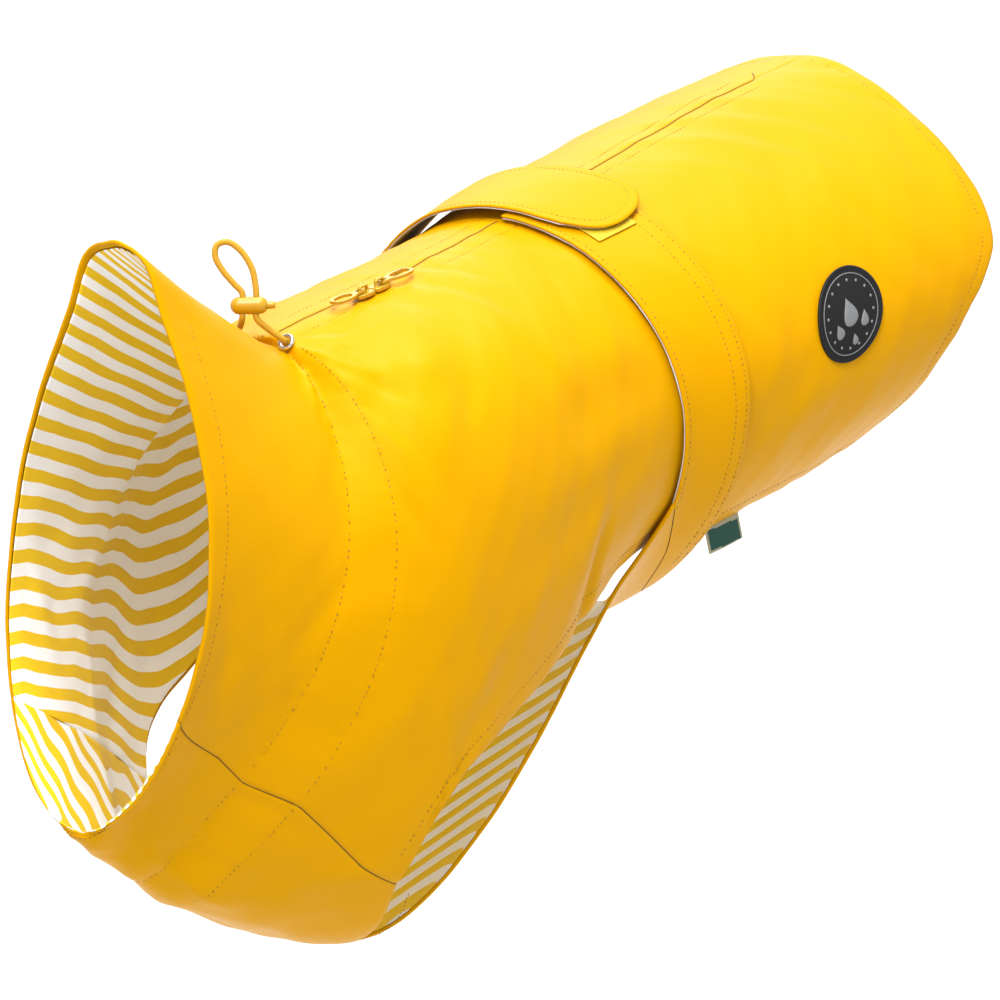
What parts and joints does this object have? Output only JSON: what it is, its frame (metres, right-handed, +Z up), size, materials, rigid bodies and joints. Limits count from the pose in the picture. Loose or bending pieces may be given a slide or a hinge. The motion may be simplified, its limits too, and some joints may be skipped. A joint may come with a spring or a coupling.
{
  "type": "dog raincoat",
  "caption": "Yellow dog raincoat worn with nobody inside, with striped lining, spine zip, belt and drawstring collar.",
  "frame": {"origin": "on the wearer's back, under the belt's front edge, where the back holds the coat up", "axes": "+X from the neck to the tail, -Y the wearer's left, +Z up"},
  "size_m": [0.5965, 0.2848, 0.3689],
  "materials": {
    "cloth": "smooth coated waterproof cloth, gentle sheen",
    "striped_lining": "jersey lining with white and yellow stripes",
    "belt_back": "plain woven backing",
    "hook_tape": "woven hook tape, matte",
    "zip_tape": "woven tape with close teeth",
    "black_rubber": "matte moulded badge",
    "label": "woven tape, matte",
    "eyelet_metal": "polished",
    "cord": "round braided cord, matte",
    "lock_plastic": "satin moulded plastic",
    "zip_metal": "glossy coat"
  },
  "bodies": {
    "coat": {"back_left": "cloth", "lining_left": "striped_lining", "back_right": "cloth", "lining_right": "striped_lining", "chest_panel": "cloth", "lining_chest": "striped_lining", "belly_flap": "cloth", "lining_belly": "striped_lining", "belt_left": "cloth", "lining_belt_left": "belt_back", "belt_right": "cloth", "lining_belt_right": "belt_back", "fastening_strip": "hook_tape", "zip_tape": "zip_tape", "round_patch": "black_rubber", "side_label": "label", "eyelet_left": "eyelet_metal", "eyelet_right": "eyelet_metal", "drawstring": "cord", "cord_lock": "lock_plastic", "slider_front": "zip_metal", "slider_rear": "zip_metal"},
    "button": {"lock_button": "lock_plastic"},
    "front_pull": {"pull_front": "zip_metal"},
    "rear_pull": {"pull_rear": "zip_metal"}
  },
  "joints": [
    {"name": "button_press", "type": "slide", "parent": "coat", "child": "button", "axis": [-0.6421, 0.7624, 0.0803], "range_m": [0, 0.0021], "stiffness_N_per_m": 200},
    {"name": "front_pull_swing", "type": "hinge", "parent": "coat", "child": "front_pull", "pos_m": [-0.11011, -0.00704, 0.00154], "axis": [0, 1, 0], "range_deg": [0, 105]},
    {"name": "rear_pull_swing", "type": "hinge", "parent": "coat", "child": "rear_pull", "pos_m": [-0.09622, -0.00703, 0.00168], "axis": [0, -1, 0], "range_deg": [0, 105]}
  ]
}
